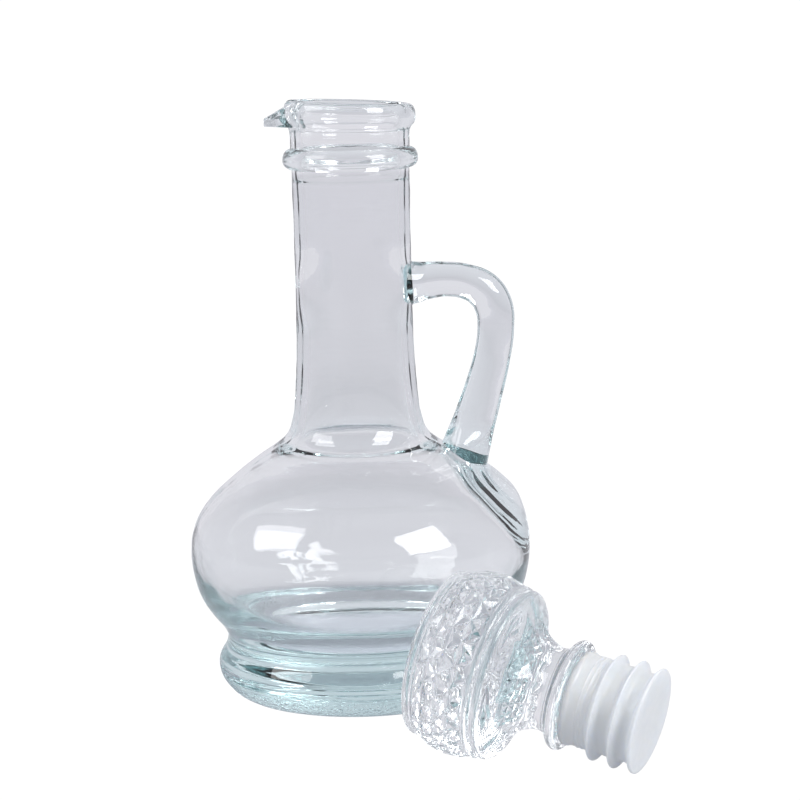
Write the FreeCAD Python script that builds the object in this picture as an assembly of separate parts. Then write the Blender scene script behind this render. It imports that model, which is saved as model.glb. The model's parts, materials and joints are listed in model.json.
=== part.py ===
import FreeCAD, Part
import math
import os

# Glass oil cruet with a loose stopper.
# Millimetres. The bottle stands on the table, z = 0 is the table, +Z is the
# bottle's own axis, the spout points to -X and the handle to +X.
# Four nodes: bottle_body and handle are one piece of glass on the real object
# (the handle is moulded on), stopper_knob is a pressed-glass stopper, and
# stopper_sleeve is the ribbed plastic plug pushed on its shank.

V = FreeCAD.Vector

# ---- driving dimensions ------------------------------------------------------
FOOT_R = 41.1            # widest circle of the foot
BEARING_R = 34.4         # outer edge of the flat ring it stands on
BEARING_INNER_R = 31.0   # inner edge of that ring
PUSH_UP = 3.0            # hollow under the base
WAIST_R = 38.3           # between foot and bulb
BULB_R = 47.9            # widest circle of the bulb
BULB_Z = 40.0
NECK_R = 16.2            # outside of the neck
BORE_R = 13.0            # inside of the neck
FINISH_BORE_R = 13.7     # wider bore at the mouth, where the plug sits
FINISH_BORE_Z = 143.0    # step between the two bores
BEAD_R = 18.7            # ring bead round the neck
BEAD_Z = 150.6
LIP_R = 18.3             # rounded lip
LIP_Z = 162.3
MOUTH_Z = 166.2          # mean height of the rim
RIM_SLOPE = 0.05         # the rim rises towards the spout
FLOOR_Z = 17.2           # inside floor: the base is thick, solid glass
SPOUT_TIP_X = -23.6
SPOUT_HALF_W = 7.0

SHANK_R = 10.50          # glass shank of the stopper
SLEEVE_BORE_R = 10.55    # plastic plug on the shank, 0.05 mm running clearance
SLEEVE_R = 11.9
STOPPER_LEN = 59.7

# The stopper lies on the table beside the bottle: it rests on a point of the
# knob's star-cut band and on the last rib of the plug.
STOPPER_TOP = (19.2, -69.0)      # centre of the knob's flat top, seen from above
STOPPER_TURN = 25.8              # plug end turned from +X towards -Y, degrees


def rev(points_wire, seam=90):
    face = Part.Face(points_wire)
    solid = face.revolve(V(0, 0, 0), V(0, 0, 1), 360)
    solid.rotate(V(0, 0, 0), V(0, 0, 1), seam)
    return solid


def spline(pts, t0=None, t1=None):
    c = Part.BSplineCurve()
    vs = [V(r, 0, z) for r, z in pts]
    if t0 is not None:
        c.interpolate(Points=vs, InitialTangent=V(t0[0], 0, t0[1]),
                      FinalTangent=V(t1[0], 0, t1[1]))
    else:
        c.interpolate(vs)
    return c.toShape()


def line(a, b):
    return Part.LineSegment(V(a[0], 0, a[1]), V(b[0], 0, b[1])).toShape()


def arc(a, m, b):
    return Part.Arc(V(a[0], 0, a[1]), V(m[0], 0, m[1]), V(b[0], 0, b[1])).toShape()


def check(name, s):
    if not s.isValid() or len(s.Solids) != 1:
        raise RuntimeError("%s: valid %s, solids %d" % (name, s.isValid(), len(s.Solids)))
    b = s.BoundBox
    print("%-16s volume %8.0f mm3  x %.1f..%.1f  y %.1f..%.1f  z %.1f..%.1f"
          % (name, s.Volume, b.XMin, b.XMax, b.YMin, b.YMax, b.ZMin, b.ZMax))


# ---- bottle_body: outside ------------------------------------------------------
TOP = MOUTH_Z + 4        # cut off later by the sloping rim plane
foot_edge = (BEARING_R, 0.0)
crease = (39.9, 12.0)    # where the foot ring meets the waist
waist = (WAIST_R, 16.5)
neck_top = (NECK_R + 0.1, BEAD_Z - 2.7)

foot = spline([foot_edge, (38.0, 2.4), (40.4, 5.2), (FOOT_R, 8.0), crease],
              (1.0, 0.16), (-0.75, 1.0))
waist_band = arc(crease, (38.75, 14.0), waist)
bulb = spline([waist, (39.4, 19.4), (42.3, 23.2), (45.4, 28.0), (47.3, 34.0),
               (BULB_R, BULB_Z), (47.0, 47.0), (43.2, 54.0), (36.2, 60.8),
               (28.6, 66.8), (22.0, 71.2)],
              (0.05, 1.0), (-0.80, 0.60))
shoulder = spline([(22.0, 71.2), (19.6, 73.6), (18.1, 77.4), (17.1, 85.0),
                   (16.4, 97.0), (NECK_R, 112.0), neck_top],
                  (-0.80, 0.60), (0.0, 1.0))
bead = arc(neck_top, (BEAD_R, BEAD_Z), (NECK_R + 0.2, BEAD_Z + 2.8))
throat = line((NECK_R + 0.2, BEAD_Z + 2.8), (NECK_R + 0.3, LIP_Z - 4.6))
lip = spline([(NECK_R + 0.3, LIP_Z - 4.6), (17.5, LIP_Z - 2.2), (LIP_R, LIP_Z),
              (17.9, LIP_Z + 2.2)], (0.35, 1.0), (-0.5, 1.0))
lip_top = line((17.9, LIP_Z + 2.2), (17.0, TOP))

outer_wire = Part.Wire([
    line((0, 0), foot_edge), foot, waist_band, bulb, shoulder, bead, throat,
    lip, lip_top, line((17.0, TOP), (0, TOP)), line((0, TOP), (0, 0))])
outer = rev(outer_wire)
check("outer", outer)

# Solid glass gathered under the lower end of the handle.
pad = Part.makeSphere(23.0, V(22.9, 0, 45.8))
pad = pad.common(Part.makeBox(40, 24, 40, V(12, -12, 40)))
outer = outer.fuse(pad)

# Pouring spout: a short beak with a flat underside, its upper edges falling
# from the rim to the tip.
tipx = SPOUT_TIP_X
plan = Part.makePolygon([V(-9, -SPOUT_HALF_W - 1.6, 159.6), V(-15.5, -SPOUT_HALF_W, 159.6),
                         V(tipx, -1.1, 159.6), V(tipx, 1.1, 159.6),
                         V(-15.5, SPOUT_HALF_W, 159.6), V(-9, SPOUT_HALF_W + 1.6, 159.6),
                         V(-9, -SPOUT_HALF_W - 1.6, 159.6)])
beak = Part.Face(plan).extrude(V(0, 0, TOP - 159.6))
slope = Part.makePolygon([V(-17.0, -20, 166.6), V(tipx - 0.01, -20, 161.9),
                          V(tipx - 5, -20, 161.9), V(tipx - 5, -20, TOP + 5),
                          V(-17.0, -20, TOP + 5), V(-17.0, -20, 166.6)])
beak = beak.cut(Part.Face(slope).extrude(V(0, 40, 0)))
outer = outer.fuse(beak)

# The sloping rim plane.
rim = Part.makePolygon([V(-40, -40, MOUTH_Z + 40 * RIM_SLOPE),
                        V(40, -40, MOUTH_Z - 40 * RIM_SLOPE),
                        V(40, -40, TOP + 20), V(-40, -40, TOP + 20),
                        V(-40, -40, MOUTH_Z + 40 * RIM_SLOPE)])
outer = outer.cut(Part.Face(rim).extrude(V(0, 80, 0)))
outer = outer.removeSplitter()
check("outer glass", outer)

# ---- handle --------------------------------------------------------------------
# One glass rod, a little thicker at both roots. Each station is the centre
# (x, z), the direction of the rod in degrees, and the half sizes of the oval
# section in the plane of the handle and across it. The roots run out of the
# bottle's own glass as short stubs, and the handle starts on a flat face
# across each stub.
STATIONS = [
    (11.0, 115.2, 2, 6.1, 5.4),
    (17.6, 115.5, 3, 5.5, 5.0),
    (23.6, 116.0, 2, 4.8, 4.6),
    (29.8, 115.7, -9, 4.7, 4.6),
    (35.8, 113.2, -40, 5.1, 4.7),
    (39.0, 108.4, -75, 5.1, 4.7),
    (39.5, 102.4, -92, 4.95, 4.7),
    (38.3, 93.9, -104, 4.95, 4.7),
    (35.7, 84.7, -107, 5.35, 4.9),
    (32.8, 76.0, -109, 5.9, 5.3),
    (30.0, 68.2, -111, 6.7, 5.8),
    (27.6, 62.0, -111, 6.9, 5.8),
]


def oval(x, z, deg, a, b):
    t = math.radians(deg)
    normal = V(math.cos(t), 0, math.sin(t))
    side = V(-math.sin(t), 0, math.cos(t))
    if a >= b:
        e = Part.Ellipse(V(x, 0, z) + side * a, V(x, b, z), V(x, 0, z))
    else:
        e = Part.Ellipse(V(x, b, z), V(x, 0, z) + side * a, V(x, 0, z))
    return Part.Wire([e.toShape()])


rod = Part.makeLoft([oval(*s) for s in STATIONS], True, False)
print("rod valid", rod.isValid(), "volume", round(rod.Volume))
split = Part.makePolygon([V(17.4, -20, 130), V(60, -20, 130), V(60, -20, 52.4),
                          V(22, -20, 72.84), V(22, -20, 90), V(17.4, -20, 90),
                          V(17.4, -20, 130)])
beyond = Part.Face(split).extrude(V(0, 40, 0))
handle = rod.common(beyond)
handle = max(handle.Solids, key=lambda s: s.Volume)
check("handle", handle)
outer = outer.fuse(rod).cut(beyond)
check("outer glass with roots", outer)

# ---- bottle_body: inside -------------------------------------------------------
floor_l = spline([(0.0, FLOOR_Z), (17.0, FLOOR_Z + 0.3), (29.5, 19.4), (36.6, 23.4),
                  (41.6, 28.6), (44.6, 34.2), (45.9, BULB_Z), (44.9, 47.0),
                  (41.0, 53.6), (34.0, 59.9), (27.0, 65.0), (21.0, 68.6)],
                 (1.0, 0.0), (-0.85, 0.45))
throat_in = spline([(21.0, 68.6), (18.0, 70.9), (15.7, 75.0), (14.2, 83.0),
                    (13.3, 93.0), (BORE_R, 103.0)], (-0.85, 0.45), (0.0, 1.0))
cavity_wire = Part.Wire([
    floor_l, throat_in, line((BORE_R, 103.0), (BORE_R, FINISH_BORE_Z)),
    line((BORE_R, FINISH_BORE_Z), (FINISH_BORE_R, FINISH_BORE_Z + 1.2)),
    line((FINISH_BORE_R, FINISH_BORE_Z + 1.2), (FINISH_BORE_R, 164.2)),
    line((FINISH_BORE_R, 164.2), (FINISH_BORE_R + 2.2, TOP + 1.8)),
    line((FINISH_BORE_R + 2.2, TOP + 1.8), (0, TOP + 1.8)),
    line((0, TOP + 1.8), (0, FLOOR_Z))])
cavity = rev(cavity_wire, 215)
# The glass is thick behind the handle's root, so the hollow is dented there.
cavity = cavity.cut(Part.makeSphere(18.3, V(50.5, 0, 62.5)))
cavity = max(cavity.Solids, key=lambda s: s.Volume)
check("cavity", cavity)

# Channel of the spout.
chan = Part.makePolygon([V(-11.0, -5.2, TOP + 1), V(-11.0, 5.2, TOP + 1),
                         V(-11.0, 0, 160.9), V(-11.0, -5.2, TOP + 1)])
chan2 = Part.makePolygon([V(tipx - 2.0, -1.6, 164.6), V(tipx - 2.0, 1.6, 164.6),
                          V(tipx - 2.0, 0, 161.0), V(tipx - 2.0, -1.6, 164.6)])
channel = Part.makeLoft([chan, chan2], True, True)

# Hollow under the base.
rise = (BEARING_INNER_R ** 2 + PUSH_UP ** 2) / (2 * PUSH_UP)
under = Part.makeSphere(rise, V(0, 0, PUSH_UP - rise))
under = under.common(Part.makeCylinder(BEARING_INNER_R, PUSH_UP + 2, V(0, 0, -1)))

bottle_body = outer.cut(cavity).cut(channel).cut(under).removeSplitter()
check("bottle_body", bottle_body)

# ---- stopper, made standing: the axis is Z, the knob's flat top at z = 0 and
# ---- the closed end of the plug at z = STOPPER_LEN ------------------------------
# Star-cut band: four rows of triangular facets between five rings of points.
N = 24
BAND = [(2.6, 21.6), (6.5, 23.7), (10.1, 24.4), (13.7, 24.148), (17.2, 22.6)]


def band_solid():
    rows = []
    for j, (z, r) in enumerate(BAND):
        off = 0.5 * (j % 2)
        rows.append([V(r * math.cos(2 * math.pi * (k + off) / N),
                       r * math.sin(2 * math.pi * (k + off) / N), z) for k in range(N)])
    faces = []

    def tri(a, b, c):
        faces.append(Part.Face(Part.makePolygon([a, b, c, a])))
    for j in range(len(rows) - 1):
        lo, hi = rows[j], rows[j + 1]
        for k in range(N):
            k1 = (k + 1) % N
            if j % 2 == 0:
                tri(lo[k], lo[k1], hi[k])
                tri(hi[k], lo[k1], hi[k1])
            else:
                tri(hi[k], hi[k1], lo[k])
                tri(lo[k], hi[k1], lo[k1])
    for row in (rows[0], rows[-1]):
        faces.append(Part.Face(Part.makePolygon(row + [row[0]])))
    return Part.Solid(Part.Shell(faces))


band = band_solid()
if band.Volume < 0:
    band.reverse()
check("facet band", band)

# Knob outline: dished top with a rounded rim, two ring beads, the core behind
# the facets, the shoulder ring, the cove down to the throat, the flange and
# the shank that takes the plug.
knob_wire = Part.Wire([
    line((0, 1.2), (18.4, 1.2)), line((18.4, 1.2), (19.4, 0.0)),
    line((19.4, 0.0), (20.6, 0.0)),
    arc((20.6, 0.0), (22.1, 0.8), (22.3, 1.6)), line((22.3, 1.6), (21.0, 2.5)),
    line((21.0, 2.5), (21.0, 16.9)),
    line((21.0, 16.9), (22.4, 17.4)), arc((22.4, 17.4), (22.95, 18.5), (22.5, 19.6)),
    line((22.5, 19.6), (22.15, 20.1)), arc((22.15, 20.1), (22.3, 21.2), (21.4, 22.2)),
    spline([(21.4, 22.2), (17.6, 23.4), (13.6, 26.4), (11.2, 30.6)], (-1.0, 0.15), (-0.1, 1.0)),
    spline([(11.2, 30.6), (11.0, 33.0), (12.0, 35.3), (13.9, 36.6)], (-0.1, 1.0), (1.0, 0.4)),
    arc((13.9, 36.6), (14.45, 37.7), (13.9, 38.8)), line((13.9, 38.8), (13.2, 39.2)),
    line((13.2, 39.2), (SHANK_R, 39.2)), line((SHANK_R, 39.2), (SHANK_R, 56.2)),
    line((SHANK_R, 56.2), (SHANK_R - 1.2, 57.4)), line((SHANK_R - 1.2, 57.4), (0, 57.4)),
    line((0, 57.4), (0, 1.2))])
knob = rev(knob_wire).fuse(band).removeSplitter()
check("stopper_knob", knob)

# Plug: a closed cup with three thin sealing ribs and a few fine rings.
ribs = [(48.0, 13.85), (53.8, 14.0)]
pts = [(12.3, 39.4), (12.3, 41.0), (SLEEVE_R + 0.1, 41.6), (SLEEVE_R, 44.0)]
for z, r in ribs:
    pts += [(SLEEVE_R, z - 1.1), (r - 0.12, z - 0.35), (r, z), (r - 0.12, z + 0.35),
            (SLEEVE_R, z + 0.9)]
pts += [(SLEEVE_R, 57.6), (13.55, 58.8), (13.7, 59.3), (13.5, STOPPER_LEN)]
pts += [(0, STOPPER_LEN), (0, 58.0), (SLEEVE_BORE_R - 0.9, 58.0), (SLEEVE_BORE_R, 57.1),
        (SLEEVE_BORE_R, 39.4)]
pw = Part.makePolygon([V(r, 0, z) for r, z in pts] + [V(pts[0][0], 0, pts[0][1])])
sleeve = rev(pw)
check("stopper_sleeve", sleeve)

# ---- lay the stopper on the table ------------------------------------------------
S_POINT, R_POINT = BAND[3]         # point of the star-cut band it rests on
R_RIB, S_RIB = 13.7, 59.3          # last rib it rests on
tilt = math.atan2(R_POINT - R_RIB, S_RIB - S_POINT)
turn = math.radians(STOPPER_TURN)
d = V(math.cos(turn) * math.cos(tilt), -math.sin(turn) * math.cos(tilt), -math.sin(tilt))
top_z = R_POINT * math.cos(tilt) + S_POINT * math.sin(tilt)
swing = FreeCAD.Rotation(V(0, 0, 1), d)
down = swing.inverted().multVec(V(0, 0, -1))
# this ring's points stand half a step off the X axis
spin = math.degrees(math.atan2(down.y, down.x)) - 180 / N
place = FreeCAD.Placement(V(STOPPER_TOP[0], STOPPER_TOP[1], top_z),
                          swing.multiply(FreeCAD.Rotation(V(0, 0, 1), spin)))
knob.Placement = place
sleeve.Placement = place
lowest = min(knob.optimalBoundingBox().ZMin, sleeve.optimalBoundingBox().ZMin)
print("stopper tilt %.2f deg, axis %.5f %.5f %.5f, top centre z %.3f, lowest %.4f"
      % (math.degrees(tilt), d.x, d.y, d.z, top_z, lowest))
print("common knob/sleeve", round(knob.common(sleeve).Volume, 4))
print("common handle/body", round(handle.common(bottle_body).Volume, 4))

os.makedirs("parts", exist_ok=True)
for name, shape in (("bottle_body", bottle_body), ("handle", handle),
                    ("stopper_knob", knob), ("stopper_sleeve", sleeve)):
    shape.exportStep("parts/%s.step" % name)
print("glass mass %.0f g body+handle, %.0f g knob" % (
    (bottle_body.Volume + handle.Volume) * 2.5e-3, knob.Volume * 2.5e-3))
print("cavity volume to rim %.0f ml" % (cavity.Volume / 1000))
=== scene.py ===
# %% Load the frame
import json
import math

import bpy
from mathutils import Matrix, Vector


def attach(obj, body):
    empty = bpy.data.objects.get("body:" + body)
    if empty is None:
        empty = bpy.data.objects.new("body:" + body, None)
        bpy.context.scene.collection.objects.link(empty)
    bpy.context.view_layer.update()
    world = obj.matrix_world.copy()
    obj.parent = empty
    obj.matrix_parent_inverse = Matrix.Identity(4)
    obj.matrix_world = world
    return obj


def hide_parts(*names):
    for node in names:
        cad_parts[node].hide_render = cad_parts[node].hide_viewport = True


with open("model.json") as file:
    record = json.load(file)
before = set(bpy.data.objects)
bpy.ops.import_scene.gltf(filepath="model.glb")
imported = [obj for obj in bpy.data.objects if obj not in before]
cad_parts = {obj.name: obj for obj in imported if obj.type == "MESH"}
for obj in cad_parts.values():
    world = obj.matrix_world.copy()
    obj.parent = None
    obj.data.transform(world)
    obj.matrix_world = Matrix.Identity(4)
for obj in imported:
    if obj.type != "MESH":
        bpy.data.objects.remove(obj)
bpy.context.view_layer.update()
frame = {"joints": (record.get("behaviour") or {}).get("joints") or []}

MM = 0.001

# %% [markdown]
# # A glass oil cruet and its stopper
# The bottle is blown glass with a pressed foot, a pouring lip and a handle of
# the same glass, so it is made here as one skin. The stopper is a solid
# piece of pressed glass with a star-cut band, and its shank wears a milky
# plastic sleeve with sealing ribs. Three pieces, three finishes: tinted clear
# glass, brighter clear glass, and soft translucent plastic.

# %% Small tools
def deselect():
    if bpy.context.mode != "OBJECT":
        bpy.ops.object.mode_set(mode="OBJECT")
    bpy.ops.object.select_all(action="DESELECT")


def only(*objs):
    deselect()
    for o in objs:
        o.select_set(True)
    bpy.context.view_layer.objects.active = objs[0]


def join(*objs):
    only(*objs)
    bpy.ops.object.join()
    return bpy.context.object


def remove(*objs):
    only(*objs)
    bpy.ops.object.delete()


def report(obj):
    tris = sum(len(p.vertices) - 2 for p in obj.data.polygons)
    size = [round(d * 1000, 1) for d in obj.dimensions]
    print(obj.name, "size", size, "mm,", tris, "triangles")


# %% [markdown]
# Three jobs come back on every piece. A skin made of parts has doubled points
# where they meet, which are merged before its faces are turned outwards. A
# boolean modifier adds one solid to another or cuts it away. And a point is
# moved straight out from the axis, to swell or dent a round skin.

# %% Tools for skins
def close_skin(gap):
    """Merge points nearer than gap mm and turn the faces outwards, in edit mode."""
    bpy.ops.mesh.select_all(action="SELECT")
    bpy.ops.mesh.remove_doubles(threshold=gap * MM)
    bpy.ops.mesh.normals_make_consistent(inside=False)


def add_boolean(obj, name, mode, other):
    m = obj.modifiers.new(name, "BOOLEAN")
    m.operation = mode
    m.solver = "EXACT"
    m.object = other


def apply_modifiers(obj):
    only(obj)
    for m in list(obj.modifiers):
        bpy.ops.object.modifier_apply(modifier=m.name)


def outwards(x, y, amount):
    """The point moved away from the axis by that amount, or in if it is negative."""
    r = math.hypot(x, y)
    return x * (r + amount) / r, y * (r + amount) / r


def fade(x, full, none):
    """1 at full, 0 at none, smooth between."""
    t = min(1.0, max(0.0, (x - none) / (full - none)))
    return t * t * (3 - 2 * t)


def bell(x, middle, width, power=2):
    """1 at the middle, falling off smoothly to both sides; a high power is flatter on top."""
    return math.exp(-abs((x - middle) / width) ** power)


# %% [markdown]
# A bottle is round, so its skin is an outline turned about the axis. The
# outline is drawn as a Bezier curve through a few points (radius, height):
# "A" lets the curve run smoothly through the point, "V" makes a corner. The
# curve becomes a chain of edges, and Spin turns it into a skin. A curve is
# used rather than a long list of points because glass shows every kink.

# %% Curves and the lathe
POINT_KIND = {"A": "AUTO", "V": "VECTOR"}


def new_curve(name, count):
    """A Bezier curve object with that many points, and its one spline."""
    deselect()
    bpy.ops.curve.primitive_bezier_curve_add(location=(0, 0, 0))
    obj = bpy.context.object
    obj.name = name
    obj.data.name = name
    spline = obj.data.splines[0]
    spline.bezier_points.add(count - 2)
    return obj, spline


def set_point(point, x, z, kind="A"):
    point.co = (x * MM, 0, z * MM)
    point.handle_left_type = point.handle_right_type = POINT_KIND[kind]


def as_mesh(obj):
    bpy.context.view_layer.update()
    only(obj)
    bpy.ops.object.convert(target="MESH")
    return bpy.context.object


def lathe(name, points, steps=128, fineness=5):
    obj, spline = new_curve(name, len(points))
    for point, (r, z, kind) in zip(spline.bezier_points, points):
        set_point(point, r, z, kind)
    obj.data.resolution_u = fineness
    obj = as_mesh(obj)
    bpy.ops.object.mode_set(mode="EDIT")
    bpy.ops.mesh.select_all(action="SELECT")
    bpy.ops.mesh.spin(steps=steps, angle=2 * math.pi, center=(0, 0, 0), axis=(0, 0, 1))
    close_skin(0.02)
    bpy.ops.object.mode_set(mode="OBJECT")
    return obj


# %% [markdown]
# The outside of the bottle, from the middle of the hollow under the foot, out
# over the ring it stands on, up the thick foot with the fine parting lines of
# its mould, round the bulb, up the neck, over the ring bead and the rounded
# lip. The fine lines are small notches, because light catches them all round.

# %% Outer skin
FOOT = [
    (0, 3.0, "A"), (16, 2.2, "A"), (30.6, 0.25, "A"), (31.6, 0.0, "A"), (34.2, 0.0, "A"),
    (36.4, 0.9, "A"), (38.9, 3.2, "A"), (40.6, 5.9, "A"), (41.0, 7.6, "V"), (40.86, 7.75, "V"),
    (41.08, 7.95, "V"), (41.1, 8.9, "V"), (40.88, 9.1, "V"), (41.05, 9.3, "V"), (40.75, 10.6, "A"),
    (40.15, 11.8, "A"), (39.75, 12.4, "A"), (38.8, 14.0, "A"),
]
BULB = [
    (38.3, 16.4, "A"), (39.5, 19.6, "A"), (42.4, 23.3, "A"), (45.4, 28.0, "A"), (47.3, 34.0, "A"),
    (47.9, 40.0, "A"), (47.0, 47.0, "A"), (43.3, 54.0, "A"), (36.3, 60.8, "A"), (28.6, 66.8, "A"),
    (22.6, 70.9, "A"), (19.7, 73.6, "A"),
]
NECK = [
    (18.2, 77.4, "A"), (17.1, 85.0, "A"), (16.4, 97.0, "A"), (16.15, 112.0, "A"), (16.15, 130.0, "A"),
    (16.3, 147.7, "V"),
]
BEAD_AND_LIP = [
    (17.6, 148.2, "A"), (18.6, 149.3, "A"), (18.75, 150.6, "A"), (18.4, 152.2, "A"),
    (17.5, 153.2, "A"), (16.45, 153.6, "V"), (16.45, 157.2, "A"), (16.9, 159.3, "A"),
    (17.9, 160.7, "A"), (18.3, 162.2, "A"), (18.15, 164.6, "A"), (17.5, 165.8, "A"),
]
RIM = (16.4, 166.2, "A")
outer = lathe("outer_skin", FOOT + BULB + NECK + BEAD_AND_LIP + [RIM])
report(outer)

# %% [markdown]
# The inside follows the outside with a thin wall in the bulb and a thicker
# one in the neck, a solid floor, and a step below the mouth where the
# stopper's sleeve ends. The rim point is the same in both outlines, so the
# two skins can be sewn there.

# %% Inner skin
INNER = [
    RIM, (15.2, 165.8, "A"), (14.2, 164.2, "A"), (13.75, 161.0, "A"),
    (13.7, 150.0, "A"), (13.65, 145.2, "A"), (13.45, 144.4, "A"), (13.4, 143.4, "A"),
    (13.2, 136.0, "A"), (13.05, 120.0, "A"), (13.05, 104.0, "A"), (13.4, 93.0, "A"),
    (14.2, 83.0, "A"), (15.2, 76.4, "A"), (16.5, 72.2, "A"), (18.3, 70.0, "A"),
    (21.4, 68.4, "A"), (27.2, 65.0, "A"), (34.2, 60.0, "A"), (41.1, 53.8, "A"),
    (45.2, 47.0, "A"), (46.1, 40.0, "A"), (45.1, 34.0, "A"), (42.2, 28.3, "A"),
    (37.0, 23.4, "A"), (31.7, 20.2, "A"), (26.0, 18.3, "A"), (14.0, 17.2, "A"), (0, 17.0, "A"),
]
inner = lathe("inner_skin", INNER)
report(inner)

# %% [markdown]
# Glass is not turned on a lathe, so the round skins are pushed where the real
# one swells or dents: glass gathered under the handle's lower end, the hollow
# dented behind it, a rim that rises towards the spout, and the slight ridge
# of the mould's parting line along both sides.

# %% Push the skins
GATHER_Z, GATHER = 61.5, 3.5  # the glass under the handle's lower end
DENT_Z, DENT = 54.0, 7.0  # the hollow behind it
HIGH_ROOT_Z = 114.0  # the handle's upper end
SEAM_HALF = 0.9
RIM_SLOPE = 0.05


def raise_rim(x, z):
    return z - RIM_SLOPE * x * fade(z, 164, 156)


def push_outer(v):
    x, y, z = v.x / MM, v.y / MM, v.z / MM
    if math.hypot(x, y) < 1:
        return
    if x > 0 and 40 < z < 74:
        height = bell(z, GATHER_Z, 9.5 if z < GATHER_Z else 5.0)
        x, y = outwards(x, y, GATHER * bell(y, 0, 11.0) * height)
    if abs(y) < SEAM_HALF and z > 9.5:
        ridge = 0.13 + 0.05 * math.sin(z * 0.37) + 0.03 * math.sin(z * 1.3 + 1)
        x += math.copysign(ridge, x) * fade(z, 13, 9.5) * fade(z, 164, 166)
    v.x, v.y, v.z = x * MM, y * MM, raise_rim(x, z) * MM


def push_inner(v):
    x, y, z = v.x / MM, v.y / MM, v.z / MM
    if math.hypot(x, y) > 10:
        if x > 0 and 30 < z < 70:
            height = bell(z, DENT_Z, 8.0 if z < DENT_Z else 6.5)
            x, y = outwards(x, y, -DENT * bell(y, 0, 12.5) * height)
        # two shallow dimples in the bore: behind the handle's upper root, and opposite
        if 95 < z < 135:
            sink = bell(y, 0, 10.0, 4) * bell(z, HIGH_ROOT_Z, 8.0, 4)
            x += sink * (0.7 if x > 0 else -0.9) * min(1.0, abs(x) / 6)
    v.x, v.y, v.z = x * MM, y * MM, raise_rim(x, z) * MM


for vert in outer.data.vertices:
    push_outer(vert.co)
for vert in inner.data.vertices:
    push_inner(vert.co)

# %% [markdown]
# Both skins end in the same ring of points at the rim. Once they are one
# object, merging the doubled points there closes it into a wall of glass with
# the hollow inside, and the inner faces are turned towards the hollow.

# %% Sew the skins at the rim
bottle = join(outer, inner)
bottle.name = "glass_bottle"
bpy.ops.object.mode_set(mode="EDIT")
close_skin(0.02)
bpy.ops.object.mode_set(mode="OBJECT")
report(bottle)

# %% [markdown]
# The handle is a rod of soft glass laid on while hot: it leaves the neck
# level, turns down over a tight shoulder and leans back to the bulb, thicker
# at both ends. A Bezier curve with a round bevel and a radius at each point
# draws it in one go, which a chain of extrusions would not do so smoothly.

# %% Handle
HANDLE = [  # x, z, half thickness
    (14.4, 115.3, 6.6), (16.6, 115.4, 5.8), (20.0, 115.8, 5.1), (25.6, 116.1, 4.65),
    (31.4, 115.3, 4.7), (36.4, 112.7, 5.1), (39.1, 108.2, 5.15), (39.6, 102.4, 4.95),
    (38.4, 94.0, 4.95), (35.9, 84.8, 5.3), (33.1, 76.0, 5.8), (30.9, 69.4, 6.5),
    (29.6, 65.6, 7.0),
]
DEPTH = 0.93  # front to back, as a share of its width
rod, spline = new_curve("handle_rod", len(HANDLE))
rod.data.bevel_depth = MM
rod.data.bevel_resolution = 10
rod.data.use_fill_caps = True
rod.data.resolution_u = 7
for point, (x, z, half) in zip(spline.bezier_points, HANDLE):
    set_point(point, x, z)
    point.radius = half
rod = as_mesh(rod)
bpy.ops.object.mode_set(mode="EDIT")
close_skin(0.01)
bpy.ops.transform.resize(value=(1, DEPTH, 1), center_override=(0, 0, 0))
bpy.ops.object.mode_set(mode="OBJECT")
report(rod)

# %% [markdown]
# Three touches make the rod look laid on: the mould's parting line stands out
# along it, its two roots spread sideways as soft glass does, and its upper
# end is bent to the neck's round wall, so that no corner of it shows inside.

# %% Seam and roots of the handle
RIDGE = 0.22
ROOT_INSIDE = 14.9  # this far from the neck's axis the upper end lies within its wall
seam = [(v, v.normal.copy()) for v in rod.data.vertices if abs(v.co.y) < 0.4 * MM]
for v, n in seam:
    v.co += n * RIDGE * MM
for v in rod.data.vertices:
    low_root = fade(v.co.z / MM, 63.0, 76.0) if v.co.x > 22 * MM else 0
    high_root = fade(v.co.x / MM, 14.5, 21.0)
    v.co.y *= 1 + 0.30 * low_root + 0.12 * high_root
    if v.co.x < 14.8 * MM:
        v.co.x = math.sqrt((ROOT_INSIDE * MM) ** 2 - min(abs(v.co.y), 10 * MM) ** 2)
report(rod)

# %% [markdown]
# The spout is a short pinched beak with a flat underside. A cube gives its
# eight corners, a bevel softens them, and a second, narrower wedge cuts the
# channel. Pulling the lip's own vertices was the other way, but the real
# beak has crisp, pressed edges.

# %% Spout
def wedge(name, neck_end, tip_end, bevel=0):
    """A cube with placed corners; an end is (x, y half low, z low, z high, y half high)."""
    deselect()
    bpy.ops.mesh.primitive_cube_add(size=2, location=(0, 0, 0))
    obj = bpy.context.object
    obj.name = name
    for v in obj.data.vertices:
        x, half_low, low, high, half_high = neck_end if v.co.x > 0 else tip_end
        side = 1 if v.co.y > 0 else -1
        top = v.co.z > 0
        v.co = Vector((x, side * (half_high if top else half_low), high if top else low)) * MM
    if bevel:
        bpy.ops.object.mode_set(mode="EDIT")
        bpy.ops.mesh.select_all(action="SELECT")
        bpy.ops.mesh.bevel(offset=bevel * MM, segments=3, affect="EDGES")
        bpy.ops.object.mode_set(mode="OBJECT")
    return obj


beak = wedge("beak", (-15.0, 7.4, 159.6, 166.7, 6.8), (-23.7, 1.3, 159.9, 162.0, 1.1), 0.25)
channel = wedge("channel", (-12.5, 2.6, 162.6, 169.0, 5.2), (-26.0, 0.3, 161.4, 166.0, 1.2))
report(beak)

# %% Fuse the bottle
add_boolean(bottle, "rod", "UNION", rod)
add_boolean(bottle, "beak", "UNION", beak)
add_boolean(bottle, "channel", "DIFFERENCE", channel)
apply_modifiers(bottle)
remove(rod, beak, channel)
only(bottle)
bpy.ops.object.shade_smooth_by_angle(angle=math.radians(32))
report(bottle)

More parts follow.
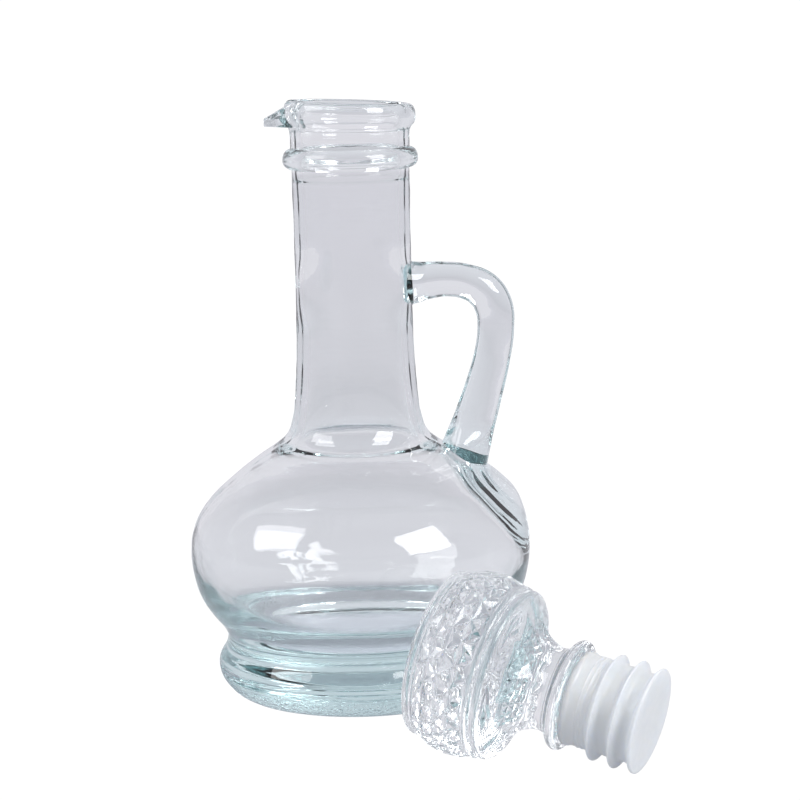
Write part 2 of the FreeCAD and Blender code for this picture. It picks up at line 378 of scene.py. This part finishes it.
# %% [markdown]
# The stopper is made standing on its flat top, with its length along z, and
# laid on the table at the end. Its outline is the dished top, two ring beads,
# the core, two more rings, the cove down to the throat, the flange and the
# shank. Shallow flutes then run down its shoulder, and finer ones over the
# dish of its top, each a wave in the distance from the axis or in height.

# %% Stopper core
TOP_AND_CORE = [
    (0, 1.5, "A"), (9, 1.5, "A"), (17.6, 1.3, "A"), (18.9, 0.5, "A"), (19.6, 0.0, "A"),
    (20.6, 0.0, "A"), (21.5, 0.35, "A"), (21.95, 1.2, "A"), (21.3, 1.95, "V"), (22.0, 2.5, "A"),
    (22.1, 3.0, "A"), (21.2, 3.5, "V"), (21.2, 16.2, "V"),
]
RINGS_AND_COVE = [
    (22.3, 16.7, "A"), (22.95, 17.6, "A"), (22.8, 18.6, "A"), (22.0, 19.2, "V"), (22.4, 19.8, "A"),
    (22.35, 20.9, "A"), (21.4, 21.9, "A"), (19.3, 22.8, "A"), (16.4, 24.2, "A"), (13.6, 26.6, "A"),
    (11.7, 29.6, "A"),
]
FLANGE_AND_SHANK = [
    (11.0, 32.0, "A"), (11.3, 34.2, "A"), (12.4, 35.7, "A"), (13.8, 36.4, "A"), (14.45, 37.6, "A"),
    (13.9, 38.8, "A"), (12.6, 39.2, "V"), (10.5, 39.2, "V"), (10.5, 56.2, "V"), (9.3, 57.4, "V"),
    (0, 57.4, "V"),
]
FLUTES = 12
FLUTE_DEPTH = 0.85
RIPPLE = 0.5
knob = lathe("stopper_crystal", TOP_AND_CORE + RINGS_AND_COVE + FLANGE_AND_SHANK,
             steps=FLUTES * 10, fineness=4)
for vert in knob.data.vertices:
    x, y, z = vert.co.x / MM, vert.co.y / MM, vert.co.z / MM
    r = math.hypot(x, y)
    angle = math.atan2(y, x)
    if 21.5 < z < 33.5 and r > 10.6:
        flute = FLUTE_DEPTH * abs(math.cos(FLUTES * angle / 2)) ** 0.7
        flute *= fade(z, 24.5, 21.6) * fade(z, 29.5, 33.5)
        x, y = outwards(x, y, -flute)
    if z < 2 and 3 < r < 17.5:
        z += RIPPLE * math.cos(2 * FLUTES * angle) * fade(r, 10, 3) * fade(r, 14, 17.5)
    vert.co = Vector((x, y, z)) * MM
report(knob)

# %% [markdown]
# The star-cut band is a net of small triangles. A circle of 24 points is
# extruded and turned half a step four times, the four-cornered faces between
# the rings are split in two, and each triangle is poked down into a shallow
# pit, so that the ridges left between the pits meet in a star at every point.

# %% Star-cut band
POINTS = 24
PIT = 0.42
BAND = [(2.8, 21.8), (6.5, 23.7), (10.1, 24.35), (13.7, 24.15), (17.3, 22.9)]  # height, radius
deselect()
bpy.ops.mesh.primitive_circle_add(vertices=POINTS, radius=BAND[0][1] * MM,
                                  location=(0, 0, 0), fill_type="NGON")
band = bpy.context.object
band.name = "star_band"
bpy.ops.object.mode_set(mode="EDIT")
bpy.ops.mesh.select_all(action="SELECT")
bpy.ops.transform.translate(value=(0, 0, BAND[0][0] * MM))
for (z0, r0), (z1, r1) in zip(BAND, BAND[1:]):
    bpy.ops.mesh.extrude_region_move(TRANSFORM_OT_translate={"value": (0, 0, (z1 - z0) * MM)})
    bpy.ops.transform.resize(value=(r1 / r0, r1 / r0, 1), center_override=(0, 0, 0))
    bpy.ops.transform.rotate(value=math.pi / POINTS, orient_axis="Z",
                             center_override=(0, 0, 0))
bpy.ops.mesh.select_all(action="SELECT")
bpy.ops.mesh.normals_make_consistent(inside=False)
bpy.ops.object.mode_set(mode="OBJECT")
report(band)


# %% Cut the stars
def select_faces(obj, corners):
    """Select the faces with that many corners, and end in edit mode."""
    for face in obj.data.polygons:
        face.select = len(face.vertices) == corners
    bpy.ops.object.mode_set(mode="EDIT")
    bpy.ops.mesh.select_mode(type="FACE")


select_faces(band, 4)
bpy.ops.mesh.quads_convert_to_tris(quad_method="SHORTEST_DIAGONAL")
bpy.ops.object.mode_set(mode="OBJECT")
select_faces(band, 3)
bpy.ops.mesh.poke(offset=-PIT * MM)
bpy.ops.object.mode_set(mode="OBJECT")
report(band)

# %% [markdown]
# The band is fused to the core. What was turned is shaded smooth wherever it
# bends gently, but a cut facet is flat, so the faces of the band are found by
# their height and distance from the axis and set flat again.

# %% Fuse the stopper
add_boolean(knob, "band", "UNION", band)
apply_modifiers(knob)
remove(band)
only(knob)
bpy.ops.object.shade_smooth_by_angle(angle=math.radians(24))
facets = 0
for face in knob.data.polygons:
    out_from_axis = math.hypot(face.center.x, face.center.y)
    if 2.9 * MM < face.center.z < 17.3 * MM and out_from_axis > 21.4 * MM:
        face.use_smooth = False
        facets += 1
print("flat facets:", facets)
report(knob)

# %% [markdown]
# The sleeve is a soft cup pushed over the shank. Three thin ribs bend when
# it goes into the neck, and fine moulded rings run round its collar. A
# turned outline gives it all at once; the ribs' edges are rounded, because
# soft plastic has no sharp ones.

# %% Sleeve
COLLAR = [
    (10.55, 39.45, "V"), (12.1, 39.4, "A"), (12.3, 39.8, "A"), (12.3, 40.8, "A"),
    (12.0, 41.3, "A"), (11.95, 43.4, "A"), (12.05, 43.6, "A"), (11.9, 43.8, "A"),
    (11.9, 44.6, "A"), (12.02, 44.8, "A"), (11.88, 45.0, "A"), (11.88, 45.8, "A"),
    (12.0, 46.0, "A"), (11.9, 46.3, "A"),
]
RIBS = [
    (12.2, 46.9, "A"), (13.3, 47.5, "A"), (13.85, 47.8, "A"), (13.95, 48.1, "A"),
    (13.7, 48.35, "A"), (12.5, 48.8, "A"), (11.9, 49.4, "A"), (11.85, 51.2, "A"),
    (12.0, 52.4, "A"), (13.2, 53.3, "A"), (14.0, 53.6, "A"), (14.1, 53.9, "A"),
    (13.8, 54.15, "A"), (12.4, 54.6, "A"), (11.85, 55.3, "A"), (11.85, 57.2, "A"),
    (12.4, 58.2, "A"), (13.5, 58.8, "A"), (13.78, 59.2, "A"), (13.6, 59.6, "A"),
]
CLOSED_END = [(13.0, 59.7, "A"), (6.0, 59.62, "A"), (0, 59.6, "A")]
SLEEVE_INSIDE = [(0, 58.0, "V"), (9.7, 58.0, "V"), (10.55, 57.0, "V"), (10.55, 39.45, "V")]
sleeve = lathe("ribbed_sleeve", COLLAR + RIBS + CLOSED_END, steps=96, fineness=3)
cup = lathe("sleeve_inside", SLEEVE_INSIDE, steps=96, fineness=2)
sleeve = join(sleeve, cup)
bpy.ops.object.mode_set(mode="EDIT")
close_skin(0.01)
bpy.ops.object.mode_set(mode="OBJECT")
bpy.ops.object.shade_smooth_by_angle(angle=math.radians(40))
report(sleeve)

# %% [markdown]
# The stopper lies on the table on a point of its band and on its last rib.
# The sleeve's joint axis in the frame is the stopper's own axis, so the
# stopper is swung from z onto that axis, turned so that a point of the band
# looks down, and lifted until it just touches the table.

# %% Lay the stopper down
TOP_XY = (19.2, -69.0)  # where the middle of its top is, seen from above
TOUCH_ALONG, TOUCH_OUT = 13.7, 24.148  # the point it lies on: along its axis, and out from it
pull = next(j for j in frame["joints"] if j["name"] == "sleeve_pull")
axis = Vector(pull["axis"]).normalized()
swing = Vector((0, 0, 1)).rotation_difference(axis)
down = swing.inverted() @ Vector((0, 0, -1))
spin = Matrix.Rotation(math.atan2(down.y, down.x) - math.pi / POINTS, 4, "Z")
tilt = math.asin(-axis.z)
top_z = TOUCH_OUT * math.cos(tilt) + TOUCH_ALONG * math.sin(tilt)
place = Matrix.Translation(Vector((*TOP_XY, top_z)) * MM) @ swing.to_matrix().to_4x4() @ spin
for obj in (knob, sleeve):
    only(obj)
    obj.matrix_world = place
    bpy.ops.object.transform_apply(location=True, rotation=True, scale=True)
    print(obj.name, "lowest point", round(min(v.co.z for v in obj.data.vertices) * 1000, 2), "mm")

# %% [markdown]
# A finish is a small network of nodes. Each helper adds a node or two, links
# them and hands on the output, so that a material below reads as a list of
# what it does. Every pattern is worked out from the object's own coordinates.

# %% Tools for finishes
def new_material(name):
    mat = bpy.data.materials.new(name)
    mat.use_nodes = True
    nodes, links = mat.node_tree.nodes, mat.node_tree.links
    return mat, nodes, links, nodes["Principled BSDF"]


def noise(nodes, links, coords, scale, detail=2.0):
    n = nodes.new("ShaderNodeTexNoise")
    n.inputs["Scale"].default_value = scale
    n.inputs["Detail"].default_value = detail
    links.new(coords, n.inputs["Vector"])
    return n.outputs["Fac"]


def bump(nodes, links, height, distance, strength, under=None):
    b = nodes.new("ShaderNodeBump")
    b.inputs["Distance"].default_value = distance
    b.inputs["Strength"].default_value = strength
    links.new(height, b.inputs["Height"])
    if under is not None:
        links.new(under, b.inputs["Normal"])
    return b.outputs["Normal"]


def map_range(nodes, links, value, start, end, low=0.0, high=1.0):
    m = nodes.new("ShaderNodeMapRange")
    m.inputs["From Min"].default_value = start
    m.inputs["From Max"].default_value = end
    m.inputs["To Min"].default_value = low
    m.inputs["To Max"].default_value = high
    links.new(value, m.inputs["Value"])
    return m.outputs["Result"]


def patchy(nodes, links, coords, scale, low, high):
    """A value that wanders between low and high, for a roughness that is not even."""
    return map_range(nodes, links, noise(nodes, links, coords, scale, 3.0), 0.35, 0.7, low, high)


# %% More tools for finishes
def stretch(nodes, links, coords, factors):
    n = nodes.new("ShaderNodeVectorMath")
    n.operation = "MULTIPLY"
    n.inputs[1].default_value = factors
    links.new(coords, n.inputs[0])
    return n.outputs["Vector"]


def length(nodes, links, vector):
    n = nodes.new("ShaderNodeVectorMath")
    n.operation = "LENGTH"
    links.new(vector, n.inputs[0])
    return n.outputs["Value"]


def product(nodes, links, a, b):
    n = nodes.new("ShaderNodeMath")
    n.operation = "MULTIPLY"
    links.new(a, n.inputs[0])
    if isinstance(b, float):
        n.inputs[1].default_value = b
    else:
        links.new(b, n.inputs[1])
    return n.outputs["Value"]


def colours(nodes, links, value, stops):
    """A colour ramp of (position, colour), in order; the first and last are already there."""
    n = nodes.new("ShaderNodeValToRGB")
    elements = n.color_ramp.elements
    for element, (position, colour) in ((elements[0], stops[0]), (elements[1], stops[-1])):
        element.position = position
        element.color = (*colour, 1)
    for position, colour in stops[1:-1]:
        elements.new(position).color = (*colour, 1)
    links.new(value, n.inputs["Fac"])
    return n.outputs["Color"]


def clear_glass(shader, nodes, links, tint, density):
    """Colourless at the surface, with the tint in the volume."""
    shader.inputs["Base Color"].default_value = (1, 1, 1, 1)
    shader.inputs["Transmission Weight"].default_value = 1.0
    shader.inputs["IOR"].default_value = 1.5
    v = nodes.new("ShaderNodeVolumeAbsorption")
    v.inputs["Color"].default_value = (*tint, 1)
    v.inputs["Density"].default_value = density
    links.new(v.outputs["Volume"], nodes["Material Output"].inputs["Volume"])


# %% [markdown]
# Soda-lime glass is clear across a thin wall and blue-green through a thick
# one, because a little iron in it takes the red. So its colour is in the
# volume, not on the surface: the foot and the handle's root darken by
# themselves. The surface is fire-polished but never flat: broad soft waves
# left by the mould bend the reflections, the blowing leaves fine lines that
# run round the bottle, and a band of pressed dots lies low on the foot.

# %% Bottle glass
DOTS_FROM, DOTS_ALL = 0.0352, 0.0362  # metres from the axis: just outside the ring it stands on
DOTS_END, DOTS_FULL = 0.0052, 0.0042  # metres above the table


def pressed_dots(nodes, links, coords):
    wide = map_range(nodes, links, length(nodes, links, stretch(nodes, links, coords, (1, 1, 0))),
                     DOTS_FROM, DOTS_ALL)
    split = nodes.new("ShaderNodeSeparateXYZ")
    links.new(coords, split.inputs["Vector"])
    low = map_range(nodes, links, split.outputs["Z"], DOTS_END, DOTS_FULL)
    dots = nodes.new("ShaderNodeTexVoronoi")
    dots.inputs["Scale"].default_value = 900
    links.new(coords, dots.inputs["Vector"])
    return product(nodes, links, product(nodes, links, dots.outputs["Distance"], low), wide)


def bottle_glass():
    mat, nodes, links, shader = new_material("bottle_glass")
    coords = nodes.new("ShaderNodeTexCoord").outputs["Object"]
    clear_glass(shader, nodes, links, (0.50, 0.80, 0.81), 9.0)
    waves = bump(nodes, links, noise(nodes, links, coords, 45, 1.0), 0.0012, 0.12)
    ripple = bump(nodes, links, noise(nodes, links, coords, 160, 2.0), 0.0003, 0.08, waves)
    lines = noise(nodes, links, stretch(nodes, links, coords, (1, 1, 9)), 70, 3.0)
    blown = bump(nodes, links, lines, 0.0003, 0.05, ripple)
    grain = bump(nodes, links, pressed_dots(nodes, links, coords), 0.0005, 0.6, blown)
    links.new(grain, shader.inputs["Normal"])
    links.new(patchy(nodes, links, coords, 30, 0.0, 0.035), shader.inputs["Roughness"])
    return mat


# %% [markdown]
# The stopper is pressed in a polished mould from whiter glass, so it has less
# tint and no waves, only the fine grain that pressing leaves.

# %% Stopper glass
def stopper_glass():
    mat, nodes, links, shader = new_material("stopper_glass")
    coords = nodes.new("ShaderNodeTexCoord").outputs["Object"]
    clear_glass(shader, nodes, links, (0.75, 0.88, 0.9), 3.0)
    grain = bump(nodes, links, noise(nodes, links, coords, 240, 3.0), 0.0003, 0.1)
    links.new(grain, shader.inputs["Normal"])
    links.new(patchy(nodes, links, coords, 90, 0.0, 0.05), shader.inputs["Roughness"])
    return mat


# %% [markdown]
# The sleeve is milky polyethylene: light enters it, scatters and comes out
# bluish white, so it is mostly subsurface scattering with a waxy gloss. A
# faint cloudiness and a fine grain break up its surface.

# %% Sleeve plastic
def sleeve_plastic():
    mat, nodes, links, shader = new_material("sleeve_plastic")
    coords = nodes.new("ShaderNodeTexCoord").outputs["Object"]
    cloudy = colours(nodes, links, noise(nodes, links, coords, 120, 3.0),
                     [(0, (0.80, 0.86, 0.92)), (1, (0.89, 0.93, 0.97))])
    links.new(cloudy, shader.inputs["Base Color"])
    shader.inputs["Subsurface Weight"].default_value = 0.75
    shader.inputs["Subsurface Radius"].default_value = (0.9, 1.0, 1.2)
    shader.inputs["Subsurface Scale"].default_value = 0.004
    shader.inputs["IOR"].default_value = 1.5
    shader.inputs["Transmission Weight"].default_value = 0.25
    links.new(patchy(nodes, links, coords, 400, 0.3, 0.5), shader.inputs["Roughness"])
    grain = bump(nodes, links, noise(nodes, links, coords, 700, 3.0), 0.0002, 0.2)
    links.new(grain, shader.inputs["Normal"])
    return mat


# %% [markdown]
# Each piece gets its finish and is hung on the body it moves with, and the
# plain solids it stands for are hidden. The bottle stands for two solids,
# because its body and handle are one skin here.

# %% Finish the pieces
def dress(obj, mat):
    obj.data.materials.clear()
    obj.data.materials.append(mat)
    print(obj.name, "wears", mat.name, "of", len(mat.node_tree.nodes), "nodes")


dress(bottle, bottle_glass())
dress(knob, stopper_glass())
dress(sleeve, sleeve_plastic())
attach(bottle, "bottle")
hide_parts("bottle_body", "handle")
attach(knob, "stopper")
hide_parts("stopper_knob")
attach(sleeve, "sleeve")
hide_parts("stopper_sleeve")

# %% [markdown]
# Clear glass shows only what is around it. The camera sees the table and the
# room as plain white, but the glass looks into a pale grey studio, lighter
# behind the bottle and darker in front, which draws its edges. So both have
# two shaders, and the kind of ray that asks picks one. The table that the
# glass sees glows by itself with painted light: a bluer painted pool of light under the foot, a
# painted shadow where its ring stands, and painted light growing outwards.

# %% Table
WHITE = 1.05
TABLE_PAINTED_GLOW = [  # metres from the bottle's axis, and the table's painted glow there: painted light under the foot, a painted shadow round it
    (0.022, (0.50, 0.51, 0.58)), (0.037, (0.15, 0.155, 0.18)), (0.05, (0.17, 0.175, 0.20)),
    (0.075, (0.355, 0.355, 0.37)), (0.64, (0.335, 0.33, 0.345)), (0.84, (0.39, 0.38, 0.40)),
    (1.7, (0.46, 0.45, 0.48)),
]
RAMP_PER_METRE = 0.5  # a colour ramp ends at 1, so it covers two metres


def white_to_camera(nodes, links, real, white, surface):
    """White where the camera looks straight at it, real for every other ray."""
    path = nodes.new("ShaderNodeLightPath")
    mix = nodes.new("ShaderNodeMixShader")
    links.new(path.outputs["Is Camera Ray"], mix.inputs["Fac"])
    links.new(real, mix.inputs[1])
    links.new(white, mix.inputs[2])
    links.new(mix.outputs["Shader"], surface)


deselect()
bpy.ops.mesh.primitive_plane_add(size=4, location=(0, 0, 0))
table = bpy.context.object
table.name = "table"
mat, nodes, links, shader = new_material("table_white_painted_glow")
shader.inputs["Base Color"].default_value = (0.33, 0.34, 0.36, 1)
shader.inputs["Roughness"].default_value = 0.7
shader.inputs["Specular IOR Level"].default_value = 0.1
# The table glows for every ray but the camera's: painted light under the foot and a painted shadow
# ring round it, not lamps.
shader.inputs["Emission Strength"].default_value = 1.0
away = length(nodes, links, nodes.new("ShaderNodeTexCoord").outputs["Object"])
painted_glow = colours(nodes, links, product(nodes, links, away, RAMP_PER_METRE),
                [(distance * RAMP_PER_METRE, colour) for distance, colour in TABLE_PAINTED_GLOW])
links.new(painted_glow, shader.inputs["Emission Color"])
glow = nodes.new("ShaderNodeEmission")
glow.inputs["Color"].default_value = (1, 1, 1, 1)
glow.inputs["Strength"].default_value = WHITE
white_to_camera(nodes, links, shader.outputs["BSDF"], glow.outputs["Emission"],
                nodes["Material Output"].inputs["Surface"])
dress(table, mat)

# %% Room
DARK_SIDE, LIGHT_SIDE = (0.42, 0.42, 0.46), (0.76, 0.75, 0.80)
world = bpy.data.worlds.new("studio")
bpy.context.scene.world = world
world.use_nodes = True
nodes, links = world.node_tree.nodes, world.node_tree.links
nodes.clear()
out = nodes.new("ShaderNodeOutputWorld")
direction = nodes.new("ShaderNodeTexCoord")
parts = nodes.new("ShaderNodeSeparateXYZ")
links.new(direction.outputs["Generated"], parts.inputs["Vector"])
backwards = map_range(nodes, links, parts.outputs["Y"], -0.2, 0.75)
room = nodes.new("ShaderNodeBackground")
links.new(colours(nodes, links, backwards, [(0, DARK_SIDE), (1, LIGHT_SIDE)]),
          room.inputs["Color"])
white = nodes.new("ShaderNodeBackground")
white.inputs["Color"].default_value = (1, 1, 1, 1)
white.inputs["Strength"].default_value = WHITE
white_to_camera(nodes, links, room.outputs["Background"], white.outputs["Background"],
                out.inputs["Surface"])
print("room nodes:", len(nodes))

# %% [markdown]
# Two large soft boxes stand high in front, left and right, and give the pair
# of window-like reflections. The left one is rolled, as its reflection is.

# %% Lights
AIM = Vector((0, 0, 0.06))
BOX_DISTANCE = 0.9


def soft_box(name, direction, size, watts, roll=0):
    spot = AIM + Vector(direction).normalized() * BOX_DISTANCE
    deselect()
    bpy.ops.object.light_add(type="AREA", location=spot)
    lamp = bpy.context.object
    lamp.name = name
    lamp.data.shape = "RECTANGLE"
    lamp.data.size, lamp.data.size_y = size
    lamp.data.energy = watts
    turned = (AIM - spot).to_track_quat("-Z", "Y").to_matrix() @ Matrix.Rotation(
        math.radians(roll), 3, "Z")
    lamp.rotation_euler = turned.to_euler()
    print(name, watts, "W, at", [round(c, 2) for c in spot])


soft_box("left_box", (-0.755, -0.27, 0.60), (0.52, 0.46), 3.4, roll=25)
soft_box("right_box", (0.618, -0.520, 0.59), (0.46, 0.46), 6.0)

# %% [markdown]
# The camera stands in front and a little above the rim, far enough away that
# the neck stays straight, and leans by a degree and a half.

# %% Camera
eye = Vector((0, -0.739, 0.1957))
look = Vector((0.01629, 0.98828, -0.1518)).normalized()
lean = math.radians(-1.414)
deselect()
bpy.ops.object.camera_add(location=eye)
camera = bpy.context.object
level_right = look.cross(Vector((0, 0, 1))).normalized()
level_up = level_right.cross(look)
right = level_right * math.cos(lean) + level_up * math.sin(lean)
up = level_up * math.cos(lean) - level_right * math.sin(lean)
turn = Matrix((right, up, -look)).transposed().to_4x4()
camera.matrix_world = Matrix.Translation(eye) @ turn
camera.data.sensor_width = 36
camera.data.lens = 119.376
camera.data.clip_start = 0.01
bpy.context.scene.camera = camera
bpy.context.scene.view_settings.view_transform = "Standard"
print("lens", round(camera.data.lens, 1), "mm")

# %% [markdown]
# In a thick foot light turns back many times before it comes out. A short
# limit on those turns leaves black stripes in the glass, so it is raised.

# %% Light in thick glass
bpy.context.scene.cycles.max_bounces = 24
bpy.context.scene.cycles.glossy_bounces = 16
bpy.context.scene.cycles.transmission_bounces = 24
